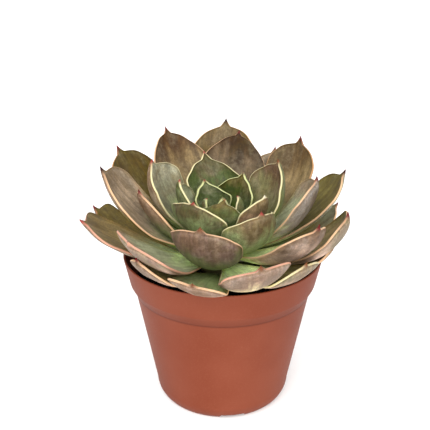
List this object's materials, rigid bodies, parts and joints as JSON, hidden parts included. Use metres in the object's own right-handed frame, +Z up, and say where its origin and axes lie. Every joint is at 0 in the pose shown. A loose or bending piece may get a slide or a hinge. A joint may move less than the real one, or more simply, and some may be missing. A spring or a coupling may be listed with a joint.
{
  "type": "potted echeveria",
  "caption": "Potted echeveria: a rosette of fleshy, cupped leaves with pale rounded margins and short dark points, in a tapered plastic nursery pot with a flared collar.",
  "frame": {"origin": "middle of the pot's flat base, on the surface that it stands on", "axes": "+Z up along the pot's axis, -Y towards the picture's viewer, +X to the viewer's right"},
  "size_m": [0.1329, 0.1424, 0.1383],
  "materials": {
    "pot": "matte",
    "soil": "rough",
    "heart": "satin",
    "leaf_inner": "satin",
    "leaf_middle": "satin",
    "leaf_outer": "satin"
  },
  "bodies": {
    "root": {"pot": "pot", "soil": "soil", "heart": "heart", "leaf_01": "leaf_inner", "leaf_02": "leaf_inner", "leaf_03": "leaf_inner", "leaf_04": "leaf_inner", "leaf_05": "leaf_inner", "leaf_06": "leaf_inner", "leaf_07": "leaf_inner", "leaf_08": "leaf_inner", "leaf_09": "leaf_inner", "leaf_10": "leaf_inner", "leaf_11": "leaf_middle", "leaf_12": "leaf_middle", "leaf_13": "leaf_middle", "leaf_14": "leaf_middle", "leaf_15": "leaf_middle", "leaf_16": "leaf_middle", "leaf_17": "leaf_middle", "leaf_18": "leaf_middle", "leaf_19": "leaf_middle", "leaf_20": "leaf_middle", "leaf_21": "leaf_middle", "leaf_22": "leaf_middle", "leaf_23": "leaf_outer", "leaf_24": "leaf_outer", "leaf_25": "leaf_outer", "leaf_26": "leaf_outer", "leaf_27": "leaf_outer", "leaf_28": "leaf_outer", "leaf_29": "leaf_outer", "leaf_30": "leaf_outer", "leaf_31": "leaf_outer", "leaf_32": "leaf_outer", "leaf_33": "leaf_outer", "leaf_34": "leaf_outer", "leaf_35": "leaf_outer"}
  },
  "joints": []
}
